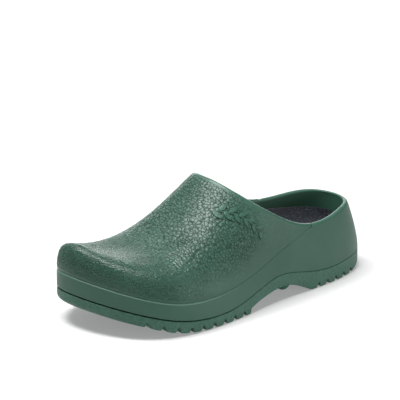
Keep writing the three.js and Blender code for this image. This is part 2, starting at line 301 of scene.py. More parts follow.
class Skin:
    """Collects grids and strips of points, welds them and makes a mesh in metres."""

    def __init__(self):
        self.points, self.quads, self.marks, self.many = [], [], [], []
        self.count = 0

    def take(self, points, marks):
        """Keeps points, and gives each the number that a face knows it by."""
        self.points.append(points.reshape(-1, 3))
        self.marks.append(marks.ravel())
        self.count += marks.size
        return np.arange(self.count - marks.size, self.count).reshape(marks.shape)

    def grid(self, points, mark=0.0):
        index = self.take(points, np.broadcast_to(np.asarray(mark, float), points.shape[:2]))
        corners = [index[:-1, :-1], index[1:, :-1], index[1:, 1:], index[:-1, 1:]]
        self.quads.append(np.stack(corners, axis=-1).reshape(-1, 4))

    def strip(self, first, second):
        self.grid(np.stack([first, second], axis=0))

    def polygon(self, points):
        self.many.append(self.take(points, np.zeros(len(points))))

    def mesh(self, name, mark_name=None):
        points, quads = np.vstack(self.points), np.vstack(self.quads)
        keys = np.round(points / WELD).astype(np.int64)
        _, first, back = np.unique(keys, axis=0, return_index=True, return_inverse=True)
        points, quads = points[first], back.ravel()[quads]
        faces, seen = [], set()
        for q in quads.tolist() + [back.ravel()[index].tolist() for index in self.many]:
            face = [v for n, v in enumerate(q) if v != q[n - 1]]
            key = tuple(sorted(face))
            if len(set(face)) == len(face) >= 3 and key not in seen:
                faces.append(face)
                seen.add(key)
        data = bpy.data.meshes.new(name)
        data.from_pydata(points / 1000, [], faces)
        shell = bmesh.new()
        shell.from_mesh(data)
        bmesh.ops.recalc_face_normals(shell, faces=shell.faces)
        shell.to_mesh(data)
        shell.free()
        if mark_name:
            layer = data.attributes.new(mark_name, "FLOAT", "POINT")
            layer.data.foreach_set("value", np.concatenate(self.marks)[first].astype(np.float32))
        data.polygons.foreach_set("use_smooth", [True] * len(data.polygons))
        data.update()
        return put_on_scene(name, data)


# %% [markdown]
# ## The vamp
# The vamp is the grained cover over the foot, from a fine line above the rand up over the
# ridge. Behind the throat the collar cuts the ribs short, so the surface splits into two
# tails. Rows crowd together at the throat, where the ribs run almost along the collar.

# %% Where the throat and the tails are
def collar_gap(p):
    return collar_line(p[..., 1]) + COLLAR_TILT * p[..., 0] - p[..., 2]


def throat_share(inset):
    share = np.linspace(0.3, 0.9, 4001)
    rib = rib_at(share, 1, inset)
    return float(share[np.nonzero(collar_gap(rib_points(rib, 0 * share, rib[5])) < 0)[0][0]])


THROAT, THROAT_INSIDE = throat_share(0), throat_share(WALL)


def over_vamp_line(p):
    return p[..., 2] - vamp_line(p[..., 1]) - VAMP_GAP


def groove(y):
    """Half the height of the groove over the outsole: wide at the toe, a hairline at the heel."""
    return PART_GAP / 2 + 0.30 * smooth(0, -110, y)


def rand_bottom(p):
    return p[..., 2] - sole_line(p[..., 1]) - groove(p[..., 1])


def rand_top(p):
    return np.minimum(-over_vamp_line(p) - 2 * VAMP_GAP, collar_gap(p))


def tail_share(side):
    """Where the vamp has run out to a sliver between its own line and the collar."""
    share = np.linspace(0.66, 0.84, 361)
    rows = trim(rib_lines(share, side, 0), over_vamp_line, collar_gap)
    left = np.array([last - first for _, _, first, last in rows])
    return float(share[np.nonzero(left < 0.5)[0][0]])


TAIL = {s: tail_share(s) for s in SIDES}

# %% Rows of the vamp
TOE_SHARE, THROAT_SHARE = 0.06, 0.012
toe_rows = TOE_SHARE * (1 - np.cos(np.linspace(0, math.pi / 2, 34)))
even_rows = np.linspace(TOE_SHARE, THROAT - THROAT_SHARE, 150)
throat_rows = THROAT - THROAT_SHARE + np.linspace(0, THROAT_SHARE, 14)
front_rows = np.concatenate([toe_rows[:-1], even_rows, throat_rows[1:]])
AT_THROAT = len(front_rows) - 1
rear_share = np.linspace(0, 1, 90)[1:] ** 1.4
rows_t = {s: np.concatenate([front_rows, THROAT + (TAIL[s] - THROAT) * rear_share]) for s in SIDES}
OVER_THROAT = 32


def vamp_walls(inset, columns, zone):
    """Both sides' front and rear grids. A rear grid joins the throat's row as far as the collar."""
    throat = THROAT_INSIDE if inset else THROAT
    front, rear, part = {}, {}, {}
    for s in SIDES:
        lines = rib_lines(np.interp(rows_t[s], [0, THROAT, TAIL[s]], [0, throat, TAIL[s]]), s, inset)
        lines[: AT_THROAT + 1, :, 2] += np.minimum(0, collar_gap(lines[: AT_THROAT + 1]))
        front[s] = trim(lines[: AT_THROAT + 1], over_vamp_line, lambda p: np.ones(len(p)))
        rear[s] = trim(lines[AT_THROAT + 1:], over_vamp_line, collar_gap)
        part[s] = (rear[s][0][3] - rear[s][0][2]) / (front[s][-1][3] - front[s][-1][2])
    walls = {}
    for s in SIDES:
        own = smooth(0, 0.15, front_rows)
        share = part[s] * own + (part[1] + part[-1]) / 2 * (1 - own)
        head = spread(front[s], columns, 1.2, zone, part=share, more=OVER_THROAT)
        walls[s] = [head, np.concatenate([head[-1:, :columns], spread(rear[s], columns, 1.2, zone)])]
    return walls


def rim_of(wall):
    """One side's edge at the collar, from the ridge over the throat and back to the tail."""
    front, rear = wall
    return np.vstack([front[-1, -OVER_THROAT - 1:][::-1], rear[1:, -1]])


# %% Skin of the vamp
vamp_skin = Skin()
outer, inner = vamp_walls(0, 96, 3.0), vamp_walls(WALL, 20, 3.0)


def collar_loop():
    """The collar's outer and inner edge all the way round, from the inner tail over the throat."""
    loops = []
    for wall, inset in ((outer, 0), (inner, WALL)):
        back = {}
        for s in SIDES:
            rear_t = np.linspace(TAIL[s], 1, 140)[1:]
            back[s] = spread(trim(rib_lines(rear_t, s, inset), rand_bottom, collar_gap), 16, 1, 1)[:, -1]
        loops.append(np.vstack([rim_of(wall[-1])[::-1], rim_of(wall[1])[1:], back[1], back[-1][::-1]]))
    return loops


collar_out, collar_in = collar_loop()
thickness = np.linalg.norm(collar_out - collar_in, axis=1)
rim_radius = np.minimum(thickness / 2, COLLAR_RADIUS)
for s in SIDES:
    foot_out = np.vstack([outer[s][0][:, 0], outer[s][1][1:, 0]])
    foot_in = np.vstack([inner[s][0][:, 0], inner[s][1][1:, 0]])
    by_tail = smooth(TAIL[s] - 0.002, TAIL[s] - 0.03, rows_t[s])
    small = 0.05 + 0.10 * by_tail + 0.2 * smooth(0.5, 0.2, rows_t[s])
    for k in (0, 1):
        pair = round_pair((outer[s][k], inner[s][k]), (collar_out, collar_in), rim_radius)
        outer[s][k], inner[s][k] = round_pair(pair, (foot_out, foot_in), small)


def recess(points, depth=0.5):
    """The vamp's wall steps back a little where it meets the rand, so the rand's edge shows."""
    x, y, z = np.moveaxis(points, -1, 0)
    near = smooth(3.5, 0.0, z - vamp_line(y)) * (0.3 + 0.7 * smooth(-10, -80, y)) * smooth(60, 35, y)
    centre = np.stack([0 * x, np.clip(y, -100, 100)], axis=-1)
    way = centre - points[..., :2]
    way /= np.maximum(np.linalg.norm(way, axis=-1, keepdims=True), 1e-6)
    moved = points.copy()
    moved[..., :2] += way * near[..., None] * depth
    return moved


for s in SIDES:
    outer[s] = [recess(grid) for grid in outer[s]]


def grain_strength(points):
    """Full on the instep, weaker on the toe, faint by the edges and low on the sides."""
    y, z = points[..., 1], points[..., 2]
    up, front = z - vamp_line(y), smooth(0, -45, y)
    clear = smooth(0.8, 8 - 4.5 * front, up) * smooth(1.5, 6, collar_gap(points))
    instep = smooth(26, 58, z)
    toe = 0.8 * smooth(-40, -95, y)
    sides = 0.12 + 0.6 * front + (0.88 - 0.6 * front) * smooth(3, 26 - 14 * front, up)
    rear = 1 - smooth(-14, 16, y) * 0.93
    return clear * np.maximum(instep, toe) * sides * rear + 0.12 * clear


# The grain mark also sets how strong the painted shade in the creases is.
for s in SIDES:
    for grid in outer[s]:
        vamp_skin.grid(grid, grain_strength(grid))
    for grid in inner[s]:
        vamp_skin.grid(grid)
    for k in (0, 1):
        vamp_skin.strip(outer[s][k][:, 0], inner[s][k][:, 0])
    vamp_skin.strip(rim_of(outer[s]), rim_of(inner[s]))
    vamp_skin.polygon(np.vstack([outer[s][1][-1], inner[s][1][-1][::-1]]))
vamp = vamp_skin.mesh("grained_vamp", "grain")


def ease_rim(piece, rounds):
    """Relaxes the points near the collar's edge, which evens out the round there."""
    tree = tree_of(dense(np.vstack([collar_out, collar_out[:1]]), 0.5))
    axes = dict(use_axis_x=True, use_axis_y=True, use_axis_z=True)
    shell = bmesh.new()
    shell.from_mesh(piece.data)
    near = [v for v in shell.verts if tree.find(v.co * 1000)[2] < COLLAR_BAND]
    for _ in range(rounds):
        bmesh.ops.smooth_vert(shell, verts=near, factor=0.5, **axes)
    shell.to_mesh(piece.data)
    shell.free()


ease_rim(vamp, 6)

# %% [markdown]
# ## Rand and quarter
# Below the vamp a smooth band, the rand, runs round the toe and rises into the quarter that
# holds the heel. Its top edge is the vamp's line in front and the collar behind. The edge is
# rounder towards the toe, and its marks there say where a painted highlight makes it pale.

# %% Ring of the rand and quarter
swing = (1 - np.cos(np.linspace(0, math.pi, 190))) / 2
ring_t = np.concatenate([swing, swing[-2:0:-1]])
ring_side = np.concatenate([np.ones(190), -np.ones(188)])


def rand_wall(inset, columns):
    outside, inside = (trim(rib_lines(swing, s, inset), rand_bottom, rand_top) for s in SIDES)
    return spread(outside + inside[-2:0:-1], columns, 1.6, 2.6)


def closed(ring):
    return np.concatenate([ring, ring[:1]])


rand_out, rand_in = rand_wall(0, 44), rand_wall(WALL, 30)
top_out, top_in, low_out, low_in = (closed(w[:, k]) for k in (-1, 0) for w in (rand_out, rand_in))
tail_at = np.where(ring_side > 0, TAIL[1], TAIL[-1])
ahead = closed(smooth(-0.002, -0.03, ring_t - tail_at))
by_toe = smooth(20, -110, low_out[:, 1])
rand_out = round_edge(rand_out, top_out, top_in, 0.05 + (0.12 + 1.2 * by_toe) * ahead)
rand_out = round_edge(rand_out, collar_out, collar_in, rim_radius)
rand_out = round_edge(rand_out, low_out, low_in, 0.4 + 0.35 * by_toe)
rand_in = round_edge(rand_in, top_in, top_out, 0.06 + 0.3 * ahead)
rand_in = round_edge(round_edge(rand_in, collar_in, collar_out, rim_radius), low_in, low_out, 0.4)
rand_out, rand_in = closed(rand_out), closed(rand_in)
# The rand's top rows are marked for a painted highlight along its edge round the toe.
highlight_share = np.zeros(rand_out.shape[1])
highlight_share[-4:] = 0.5, 1.0, 1.0, 1.0
rand_skin = Skin()
rand_skin.grid(rand_out, highlight_share * smooth(-10, -80, rand_out[..., 1]))
rand_skin.grid(rand_in)
for k in (0, -1):
    rand_skin.strip(rand_out[:, k], rand_in[:, k])
rand = rand_skin.mesh("smooth_rand_and_quarter", "highlight_share")
ease_rim(rand, 3)

# %% [markdown]
# ## The outsole and its tread
# Its underside is a height field: two flat tread blocks, a steep step into the hollow under
# the waist, and one round lug across that hollow. Rows are closest where a notch will be.
# Each point keeps how much of a lift it takes when the tread is cut: all at the bottom,
# none at the top edge.

# %% The underside as a height
arch_pulls = np.array([[0, 0.36], [0.16, 0.68], [0.46, 1.0], [0.7, 0.86], [1, 0]])
arch_span = HEEL_FRONT - FORE_END


def catmull(points, f):
    n = len(points) - 1
    s = np.clip(f * n, 0, n)
    i = np.minimum(s.astype(int), n - 1)
    w = (s - i)[..., None]
    p0, p1, p2, p3 = (points[np.clip(i + k, 0, n)] for k in (-1, 0, 1, 2))
    v0, v1 = (p2 - p0) / 2, (p3 - p1) / 2
    return (2 * p1 - 2 * p2 + v0 + v1) * w**3 + (-3 * p1 + 3 * p2 - 2 * v0 - v1) * w**2 + v0 * w + p1


arch_curve = catmull(arch_pulls, np.linspace(0, 1, 400))


def underside(x, y):
    base = tread_line(y)
    place = (y - FORE_END) / arch_span
    arch = ARCH_HEIGHT * np.interp(place, arch_curve[:, 0], arch_curve[:, 1])
    step = smooth(FORE_END - 0.9, FORE_END + 0.5, y)
    inside = (y > FORE_END - 0.9) & (y < HEEL_FRONT)
    base = np.where(inside, np.maximum(base * (1 - step), arch * step), base)
    t = np.clip(y / LENGTH + 0.5, 0, 1)
    from_x, to_x = edge_at(t, -1, LUG_INSET)[0], edge_at(t, 1, LUG_INSET)[0]
    past = np.maximum(0, np.maximum(x - (to_x - LUG_RADIUS), from_x + LUG_RADIUS - x))
    far = np.sqrt((y - LUG_AT) ** 2 + past**2) / LUG_RADIUS
    dome = LUG_RADIUS * (1 - np.sqrt(np.clip(1 - far**2, 0, 1)))
    lug = LUG_GROUND_GAP + dome + 60 * np.clip(far - 1, 0, 1)
    out_of_reach = 99 * (np.abs(y - LUG_AT) > 2 * LUG_RADIUS)
    return np.minimum(base, np.maximum(lug, 0) + out_of_reach)


# %% Rows of the outsole, closest at the notches
base_rows = (1 - np.cos(np.linspace(0, math.pi, 120))) / 2
half_notch = [0.45, 0.9, 1.3, 1.7, 2.05, 3.2]
across_notch = np.array([-v for v in half_notch[::-1]] + [0] + half_notch)
near_notch = (np.array(FORE_NOTCHES + HEEL_NOTCHES)[:, None] + across_notch).ravel()
near_step = FORE_END + np.array([-0.9, -0.6, -0.4, -0.2, 0, 0.25, 0.5])
near_lug = LUG_AT + LUG_RADIUS * np.sin(np.linspace(-math.pi / 2, math.pi / 2, 19)) * 1.02
extra = np.concatenate([near_notch, near_step, near_lug]) / LENGTH + 0.5
calm = base_rows[np.min(np.abs(base_rows[:, None] - extra), axis=1) > 0.0012]
sole_t = np.unique(np.clip(np.concatenate([calm, extra, [0, 1]]), 0, 1).round(6))


# %% Sections of the outsole
def sole_side(t, side):
    """Bottom edge, wall and top edge on one side, as points for each row."""
    place = (t - 0.5) * LENGTH
    tip = np.maximum(smooth(-118, -139, place), smooth(112, 137, place))
    low_round, top_round = 1.0 + 3.6 * tip, 0.5 + 0.5 * smooth(20, -110, place)
    edge, edge_in = np.stack(edge_at(t, side, 0.0)), np.stack(edge_at(t, side, 1.0))
    low, top = [], []
    for a in np.linspace(0, math.pi / 2, 7):
        x, y = edge + (edge_in - edge) * low_round * (1 - math.sin(a))
        low.append(np.stack([x, y, underside(x, y) + low_round * (1 - math.cos(a))], axis=1))
    for a in np.linspace(0, math.pi / 2, 5):
        x, y = edge + (edge_in - edge) * top_round * (1 - math.cos(a))
        top.append(np.stack([x, y, sole_line(y) - groove(y) - top_round * (1 - math.sin(a))], axis=1))
    wall = [low[-1] * (1 - f) + top[0] * f for f in np.linspace(0, 1, 14)[1:-1]]
    return np.stack(low + wall + top, axis=1)


right, left = (sole_side(sole_t, s) for s in SIDES)
shares = np.linspace(0, 1, 54)[None, :, None]
bottom = left[:, :1] * (1 - shares) + right[:, :1] * shares
bottom[:, 1:-1, 2] = underside(bottom[:, 1:-1, 0], bottom[:, 1:-1, 1])
shares = np.linspace(0, 1, 9)[None, :, None]
lid = right[:, -1:] * (1 - shares) + left[:, -1:] * shares
sole_skin = Skin()
loop = np.concatenate([bottom, right[:, 1:], lid[:, 1:], left[:, ::-1][:, 1:]], axis=1)
ceiling = sole_line(loop[..., 1]) - 1.2
ground = tread_line(loop[..., 1])
sole_skin.grid(loop, np.clip((ceiling - loop[..., 2]) / (ceiling - ground - 1), 0, 1))
plain_sole = sole_skin.mesh("plain_outsole", "tread")

# %% [markdown]
# ## The footbed
# The footbed lies loose in the shell: a jute cloth underneath, granulated cork in the
# middle, thick where the foot needs support, and a dark felt on top. The felt is thin and
# follows the cork over its raised rim, so it is made as a skin a little above the cork.

# %% Footbed layers
def layer_rows(t, clearance, across):
    def edge_of(side):
        return rib_points(rib_at(t, side, WALL + clearance), upright_reach(t, side), 0 * t)

    outer_side, inner_side = (edge_of(s) for s in SIDES)
    f = np.linspace(0, 1, across + 1)
    f = (f + (1 - np.cos(np.pi * f)) / 2) / 2
    row = outer_side[:, None] * (1 - f[None, :, None]) + inner_side[:, None] * f[None, :, None]
    return row, np.broadcast_to(f, row.shape[:2])


def cork_top(p, f):
    x, y = p[..., 0], p[..., 1]
    t = np.clip((y + LENGTH / 2) / LENGTH, 0, 1)
    width = edge_at(t, 1, WALL)[0] - edge_at(t, -1, WALL)[0]
    from_side = width * np.minimum(f, 1 - f)
    from_heel = np.maximum(0, LENGTH / 2 - WALL - y)
    near = 1 / (1 / np.maximum(from_side, 1e-3) ** 4 + 1 / np.maximum(from_heel, 1e-3) ** 4) ** 0.25
    slope = np.maximum(0, 1 - near / RIM_REACH)
    return core_floor(y) + cork_line(y) + (outer_rim(y) * (1 - f) + inner_rim(y) * f) * slope**2


def footbed_layer(name, low, high, across=64, rows=200, rounding=0.4):
    t = (1 - np.cos(np.linspace(0, math.pi, rows))) / 2
    p, f = layer_rows(t, CLEARANCE + 0.05, across)
    f = np.where((t <= 0) | (t >= 1), 0.5, f.T).T
    top, bottom = p.copy(), p.copy()
    top[..., 2], bottom[..., 2] = high(p, f), low(p, f)
    centre = p[:, across // 2][:, None]
    away = np.linalg.norm(p[..., :2] - centre[..., :2], axis=-1)
    edge = np.linalg.norm(p[:, :1, :2] - p[:, -1:, :2], axis=-1) / 2
    near = np.clip(edge - away, 0, rounding)
    drop = rounding - np.sqrt(rounding**2 - (rounding - near) ** 2)
    top[..., 2] -= drop
    skin = Skin()
    skin.grid(top)
    skin.grid(bottom)
    for k in (0, -1):
        skin.grid(np.stack([bottom[:, k], bottom[:, k] * 0.5 + top[:, k] * 0.5, top[:, k]], axis=1))
    return skin.mesh(name)


felt = footbed_layer("felt_cover", lambda p, f: cork_top(p, f) + PART_GAP * 0.6,
                     lambda p, f: cork_top(p, f) + PART_GAP + COVER, rounding=0.9)
cork = footbed_layer("cork_core", lambda p, f: core_floor(p[..., 1]), cork_top, across=48, rows=150)
jute = footbed_layer("jute_backing", lambda p, f: floor_line(p[..., 1]) + PART_GAP,
                     lambda p, f: floor_line(p[..., 1]) + PART_GAP + BACKING,
                     across=32, rows=120, rounding=0.3)

# %% [markdown]
# ## A small kit for node trees
# Shader and geometry trees are both drawn here in code. A wire is an output socket that
# can be used in sums, and a bench makes any other node from its type and its inputs.

# %% Wires and benches
def two_way(operation, swapped=False):
    """A method that feeds a wire and another value to one Math node."""
    def method(self, other):
        return self.sum(operation, other, self) if swapped else self.sum(operation, self, other)
    return method


class Wire:
    """An output socket that can be used in sums."""
    __add__, __radd__ = two_way("ADD"), two_way("ADD", swapped=True)
    __sub__, __rsub__ = two_way("SUBTRACT"), two_way("SUBTRACT", swapped=True)
    __mul__, __truediv__, __pow__ = two_way("MULTIPLY"), two_way("DIVIDE"), two_way("POWER")
    least, most = two_way("MINIMUM"), two_way("MAXIMUM")

    def __init__(self, bench, socket):
        self.bench, self.socket = bench, socket

    def sum(self, operation, *values):
        return self.bench.node("ShaderNodeMath", dict(enumerate(values)), operation=operation)

    def size(self):
        return self.sum("ABSOLUTE", self)

    def sine(self):
        return self.sum("SINE", self)

    def ease(self, low, high):
        """A smooth step from 0 at low to 1 at high."""
        ends = {0: self, 1: low, 2: high, 3: 0.0, 4: 1.0}
        return self.bench.node("ShaderNodeMapRange", ends, interpolation_type="SMOOTHSTEP")


class Bench:
    def __init__(self, tree):
        self.tree = tree

    def node(self, kind, inputs=None, output=0, **settings):
        made = self.tree.nodes.new(kind)
        for name, value in settings.items():
            setattr(made, name, value)
        for name, value in (inputs or {}).items():
            if isinstance(value, Wire):
                self.tree.links.new(value.socket, made.inputs[name])
            else:
                made.inputs[name].default_value = value
        return Wire(self, made.outputs[output])

    def vary(self, **wires):
        for name, wire in wires.items():
            self.tree.links.new(wire.socket, self.shader.inputs[name])

    def blend(self, factor, first, second):
        return self.node("ShaderNodeMix", {0: factor, 6: first, 7: second}, output=2, data_type="RGBA")

    def noise(self, place, scale, detail=3.0, output=0):
        return self.node("ShaderNodeTexNoise", {"Vector": place, "Scale": scale, "Detail": detail}, output)

    def cells(self, place, scale, feature="F1", output=0):
        return self.node("ShaderNodeTexVoronoi", {"Vector": place, "Scale": scale}, output, feature=feature)

    def vector(self, x=0.0, y=0.0, z=0.0):
        return self.node("ShaderNodeCombineXYZ", {0: x, 1: y, 2: z})

    def part(self, vector, axis):
        return self.node("ShaderNodeSeparateXYZ", {0: vector}, axis)

    def scaled(self, vector, x, y, z):
        return self.node("ShaderNodeVectorMath", {0: vector, 1: (x, y, z)}, operation="MULTIPLY")

    def shifted(self, vector, other):
        return self.node("ShaderNodeVectorMath", {0: vector, 1: other}, operation="ADD")


# %% [markdown]
# ## Finishes
# The shell, the sole and the footbed are all matt, but not in the same way. Each finish
# below is a procedural material in object space, in millimetres, so that it has the same
# scale on every piece. Colour, roughness and bump vary over a surface, and on the vamp a
# thin coat does too.

# %% Starting a finish
def finish(name, roughness, sheen=0.0, specular=0.5):
    """A bench on a new material, and the wire that holds each place in millimetres."""
    material = bpy.data.materials.new(name)
    material.use_nodes = True
    bench = Bench(material.node_tree)
    bench.material, bench.shader = material, material.node_tree.nodes["Principled BSDF"]
    bench.shader.inputs["Roughness"].default_value = roughness
    bench.shader.inputs["Sheen Weight"].default_value = sheen
    bench.shader.inputs["Specular IOR Level"].default_value = specular
    return bench, bench.scaled(bench.node("ShaderNodeTexCoord", output="Object"), 1000, 1000, 1000)


def lay(bench, colour, roughness, height, deep):
    """Plugs in what varies: a colour, a roughness and a bump of the given depth in mm."""
    bump = bench.node("ShaderNodeBump", {"Height": height, "Distance": deep / 1000, "Strength": 1.0})
    bench.vary(**{"Base Color": colour, "Roughness": roughness, "Normal": bump})
    return bench.material


GREEN = (0.026, 0.080, 0.055, 1)
# GREEN_DEEP is also the painted shade in the vamp's creases.
GREEN_DEEP = (0.007, 0.032, 0.020, 1)
GREEN_WORN = (0.042, 0.106, 0.077, 1)
# A pale green for the painted highlight on the rand's top edge round the toe.
GREEN_PAINTED_HIGHLIGHT = (0.110, 0.200, 0.160, 1)
SOLE_DARK, SOLE_MID, SOLE_PALE = (0.020, 0.068, 0.047, 1), (0.031, 0.096, 0.066, 1), (0.050, 0.130, 0.095, 1)


# %% [markdown]
# ### Grained rubber
# The vamp was moulded against a mould with a leather grain etched in it. Small pebbles
# with narrow creases between them cover the instep, and smaller ones the toe. The creases
# are duller, and are painted darker as painted shade. Faces that look up are polished by use, which is a
# thin coat here.
# The mask that raises the pebbles in the mesh also fades them out towards the sides.

# %% Grained rubber
PEBBLES_PER_MM = 0.34


def pebble_edges(bench, place):
    """How far a place in millimetres is from the nearest crease, in pebble widths. The
    first wire has the full pebbles, which turn small on the toe, the second small ones only."""
    warp = bench.scaled(bench.noise(place, 0.30, 2.0, "Color"), 2.6, 2.6, 2.6)
    warped = bench.scaled(bench.shifted(place, warp), 0.85, 1.2, 1.0)
    full, small = (bench.cells(warped, PEBBLES_PER_MM * n, "DISTANCE_TO_EDGE") for n in (1.0, 1.8))
    by_toe = bench.part(place, "Y").ease(-58, -92)
    return full + (small - full) * by_toe, small


def grained_rubber():
    bench, place = finish("grained_rubber", 0.36, specular=0.26)
    strength = bench.node("ShaderNodeAttribute", output="Fac", attribute_name="grain")
    edge, small = pebble_edges(bench, place)
    tops = edge.ease(0.01, 0.13) * 0.78 + small.ease(0.01, 0.18) * 0.22
    cloudy = bench.noise(place, 0.03, 4.0)
    pores = bench.noise(place, 1.4, 3.0)
    swell = bench.noise(place, 0.28, 2.0)
    colour = bench.blend(cloudy.ease(0.3, 0.7) * 0.5, GREEN, GREEN_WORN)
    # Painted shade: the creases are blended towards a darker green, where shade falls between the pebbles.
    crease = ((1 - edge.ease(0.02, 0.12)) * 0.85 + (1 - small.ease(0.01, 0.11)) * 0.15) * strength
    colour = bench.blend(crease * 0.95, colour, GREEN_DEEP)
    rough = 0.34 + crease * 0.25 + pores * 0.08
    upward = bench.part(bench.node("ShaderNodeNewGeometry", output="Normal"), "Z")
    highlight_share = upward.ease(0.3, 0.75) * (1 - crease * 0.8) * 0.34
    bench.vary(**{"Coat Weight": highlight_share})
    bench.shader.inputs["Coat Roughness"].default_value = 0.40
    height = tops * strength + swell * 0.9 * strength + pores * 0.10
    return lay(bench, colour, rough, height, 0.42)


# %% [markdown]
# ### Smooth rubber
# The rand and the quarter came from a polished part of the mould. They are satin, with a
# very fine pitting, a slight cloudiness in the colour and a few scuffs from wear. Round the
# toe the rand's upper edge is painted pale, as a painted highlight.

# %% Smooth rubber
def smooth_rubber():
    bench, place = finish("smooth_rubber", 0.42, specular=0.26)
    cloudy = bench.noise(place, 0.025, 3.0)
    pits = bench.noise(place, 2.2, 4.0)
    scuffs = bench.noise(bench.scaled(place, 0.5, 0.06, 1.4), 0.9, 5.0).ease(0.62, 0.75)
    colour = bench.blend(cloudy.ease(0.3, 0.7) * 0.45, GREEN, GREEN_WORN)
    colour = bench.blend(scuffs * 0.12, colour, GREEN_WORN)
    # Painted highlight: the marked top edge is blended towards a pale green.
    highlight_share = bench.node("ShaderNodeAttribute", output="Fac", attribute_name="highlight_share")
    colour = bench.blend(highlight_share * 0.8, colour, GREEN_PAINTED_HIGHLIGHT)
    return lay(bench, colour, 0.40 + pits * 0.10 + scuffs * 0.06, pits * 0.8 + scuffs * 0.2, 0.06)


# %% [markdown]
# ### Sole rubber
# The sole's mould was spark eroded, which leaves a frosted skin with shallow dimples and
# faint upright streaks, where the wall was drawn out. It is duller than the shell.

# %% Sole rubber
def sole_rubber():
    bench, place = finish("sole_rubber", 0.55, specular=0.3)
    frost = bench.noise(place, 1.1, 4.0)
    streaks = bench.noise(bench.scaled(place, 1.0, 1.0, 0.12), 0.8, 3.0)
    cloudy = bench.noise(place, 0.03, 3.0)
    dimples = bench.noise(place, 0.42, 3.0)
    colour = bench.blend(cloudy.ease(0.3, 0.7) * 0.4 + frost * 0.4, SOLE_MID, SOLE_PALE)
    colour = bench.blend(dimples.ease(0.4, 0.62) * 0.4, colour, SOLE_DARK)
    return lay(bench, colour, 0.48 + frost * 0.16, frost * 0.8 + streaks * 0.5 + dimples * 1.6, 0.5)


# %% [markdown]
# ### Felt, cork, jute and foam
# The felt is pressed from dark blue-black fibres with paler ones scattered in it. Cork is
# a mass of granules in browns, each with its own shade. The jute is a plain weave, drawn
# from two crossed sets of threads. Foam has small closed cells.

# %% Felt
def felt_cloth():
    bench, place = finish("felt", 0.9, sheen=0.12, specular=0.1)
    fibres = bench.noise(bench.scaled(place, 1.0, 2.6, 1.0), 1.2, 6.0)
    crossed = bench.noise(bench.scaled(place, 2.6, 1.0, 1.0), 1.1, 6.0)
    flecks = bench.cells(place, 0.75).ease(0.46, 0.20)
    tufts = bench.noise(place, 0.9, 4.0)
    colour = bench.blend(fibres.ease(0.38, 0.62), (0.003, 0.004, 0.006, 1), (0.017, 0.020, 0.026, 1))
    colour = bench.blend(flecks * tufts.ease(0.45, 0.6) * 0.6, colour, (0.090, 0.102, 0.125, 1))
    return lay(bench, colour, 0.86 + crossed * 0.1, fibres * 0.5 + crossed * 0.5 + tufts * 0.8, 0.7)


# %% Cork
def cork_grains():
    bench, place = finish("cork", 0.85, specular=0.3)
    grain = 0.42
    pick = bench.node("ShaderNodeSeparateColor", {0: bench.cells(place, grain, output="Color")})
    gaps = bench.cells(place, grain, "DISTANCE_TO_EDGE").ease(0.0, 0.14)
    crumbs = bench.noise(place, 1.5, 5.0)
    colour = bench.blend(pick, (0.22, 0.11, 0.045, 1), (0.46, 0.27, 0.12, 1))
    colour = bench.blend((1 - gaps) * 0.8, colour, (0.07, 0.03, 0.012, 1))
    colour = bench.blend(crumbs.ease(0.55, 0.7) * 0.4, colour, (0.13, 0.06, 0.02, 1))
    return lay(bench, colour, 0.8 + crumbs * 0.12, gaps + crumbs * 0.3, 0.3)


# %% Jute
def jute_weave():
    bench, place = finish("jute", 0.9, specular=0.2)
    thread = 1.1
    across, lengthwise = ((bench.part(place, axis) * (math.pi / thread)).sine() for axis in "XY")
    threads = (across * lengthwise).ease(-0.9, 0.9)
    hairs = bench.noise(bench.scaled(place, 2.0, 0.5, 1.0), 1.5, 4.0)
    colour = bench.blend(threads, (0.20, 0.125, 0.055, 1), (0.46, 0.34, 0.19, 1))
    colour = bench.blend(hairs.ease(0.5, 0.75) * 0.35, colour, (0.30, 0.20, 0.10, 1))
    return lay(bench, colour, 0.85 + hairs * 0.1, threads + hairs * 0.3, 0.35)


# %% Foam
def foam_cells():
    bench, place = finish("foam", 0.8, specular=0.3)
    cells = bench.cells(place, 1.4)
    cloudy = bench.noise(place, 0.05, 3.0)
    colour = bench.blend(cells.ease(0.1, 0.6) * 0.4 + cloudy * 0.3, GREEN_DEEP, GREEN_WORN)
    return lay(bench, colour, 0.75 + cells * 0.15, cells, 0.15)


GRAINED, SMOOTH, SOLE = grained_rubber(), smooth_rubber(), sole_rubber()
FELT, CORK, JUTE, FOAM = felt_cloth(), cork_grains(), jute_weave(), foam_cells()

# %% [markdown]
# ## Geometry Nodes on the worktop
# A tree is built with named inputs and put on a piece as a modifier. The evaluated result
# is copied to a plain mesh, so every later step sees ordinary geometry.

# %% Growing a piece with a tree
def start_tree(name, *sizes):
    """A tree with a number input for each size, and the bench and named wires to draw it with."""
    tree = bpy.data.node_groups.new(name, "GeometryNodeTree")
    tree.interface.new_socket("Geometry", in_out="INPUT", socket_type="NodeSocketGeometry")
    for label in sizes:
        tree.interface.new_socket(label, in_out="INPUT", socket_type="NodeSocketFloat")
    tree.interface.new_socket("Material", in_out="INPUT", socket_type="NodeSocketMaterial")
    tree.interface.new_socket("Geometry", in_out="OUTPUT", socket_type="NodeSocketGeometry")
    bench = Bench(tree)
    entry = tree.nodes.new("NodeGroupInput")
    return tree, bench, {socket.name: Wire(bench, socket) for socket in entry.outputs if socket.name}


def end_tree(bench, geometry, material):
    real = bench.node("GeometryNodeRealizeInstances", {0: geometry})
    dressed = bench.node("GeometryNodeSetMaterial", {0: real, "Material": material})
    exit_node = bench.tree.nodes.new("NodeGroupOutput")
    bench.tree.links.new(dressed.socket, exit_node.inputs[0])


